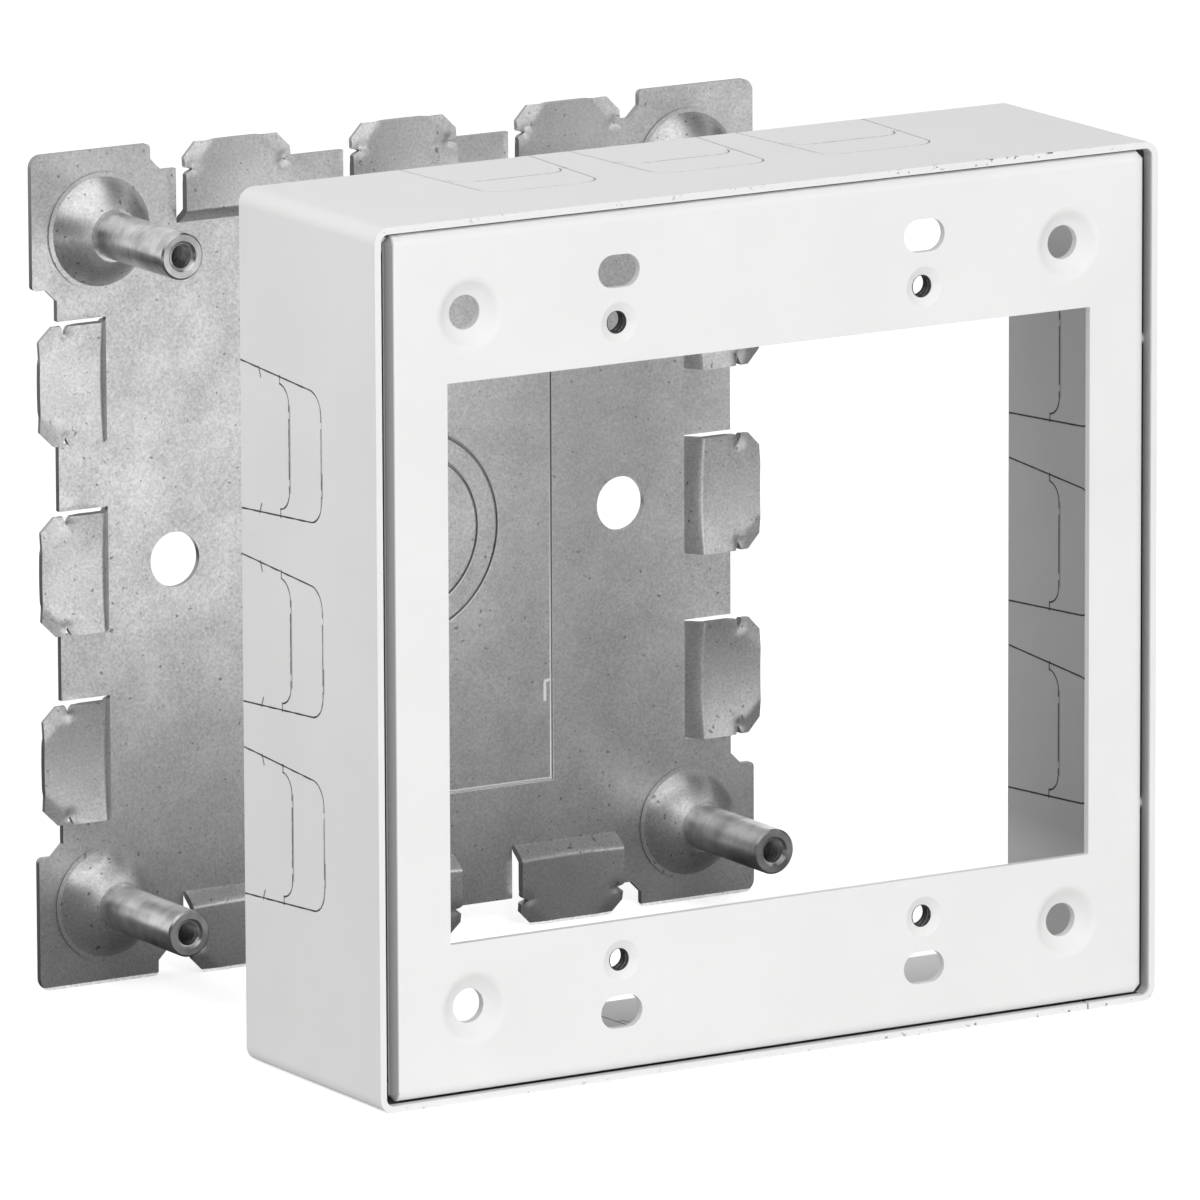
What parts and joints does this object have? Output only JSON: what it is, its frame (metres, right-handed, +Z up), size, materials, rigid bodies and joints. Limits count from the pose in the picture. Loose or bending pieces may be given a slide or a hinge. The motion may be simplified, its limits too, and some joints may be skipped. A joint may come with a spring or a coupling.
{
  "type": "raceway outlet box",
  "caption": "Surface raceway outlet box for two wiring devices: galvanised base plate with threaded posts, and a white steel cover shown taken off in front of it.",
  "frame": {"origin": "middle of the base plate's back face, which lies on the wall", "axes": "+X to the right seen from the room, +Y into the wall, +Z up"},
  "size_m": [0.1219, 0.0829, 0.1148],
  "materials": {
    "galvanised_sheet": "matt mottled zinc",
    "plated_post": "turned, satin",
    "white_paint": "smooth satin enamel"
  },
  "bodies": {
    "root": {"base_plate": "galvanised_sheet", "post_top_left": "plated_post", "post_top_right": "plated_post", "post_bottom_left": "plated_post", "post_bottom_right": "plated_post", "cover_band": "white_paint", "face_plate": "white_paint"}
  },
  "joints": []
}
